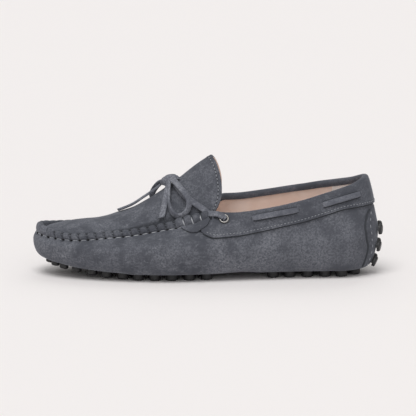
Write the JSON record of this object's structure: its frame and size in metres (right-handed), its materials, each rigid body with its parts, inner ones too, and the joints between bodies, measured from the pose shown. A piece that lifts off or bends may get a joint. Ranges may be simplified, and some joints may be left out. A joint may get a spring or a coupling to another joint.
{
  "type": "driving moccasin",
  "caption": "Left suede driving moccasin with a whipped apron seam, laced collar band, bow and rubber pebble sole.",
  "frame": {"origin": "middle of the shoe's box, on the plane that the pebbles stand on", "axes": "toe towards -X, heel +X, outer side -Y, inner side +Y, up +Z"},
  "size_m": [0.2802, 0.0986, 0.0955],
  "materials": {
    "suede": "napped blue-grey suede",
    "lining_leather": "smooth tan lining",
    "rubber": "satin black",
    "lace_suede": "suede thong",
    "eyelet_metal": "dark nickel"
  },
  "bodies": {
    "root": {"upper": "suede", "apron_tongue": "suede", "collar_band": "suede", "heel_tab": "suede", "insole": "lining_leather", "sole_forefoot": "rubber", "sole_heel": "rubber", "heel_pebble_lateral_1": "rubber", "heel_pebble_lateral_2": "rubber", "heel_pebble_lateral_3": "rubber", "heel_pebble_medial_1": "rubber", "heel_pebble_medial_2": "rubber", "heel_pebble_medial_3": "rubber", "eyelet_lateral": "eyelet_metal", "eyelet_medial": "eyelet_metal", "lace_bar_lateral_1": "lace_suede", "lace_bar_lateral_2": "lace_suede", "lace_bar_medial_1": "lace_suede", "lace_bar_medial_2": "lace_suede", "lace_lateral": "lace_suede", "lace_medial": "lace_suede", "bow_knot": "lace_suede", "bow_loop_lateral": "lace_suede", "bow_loop_medial": "lace_suede", "bow_end_lateral": "lace_suede", "bow_end_medial": "lace_suede"}
  },
  "joints": []
}
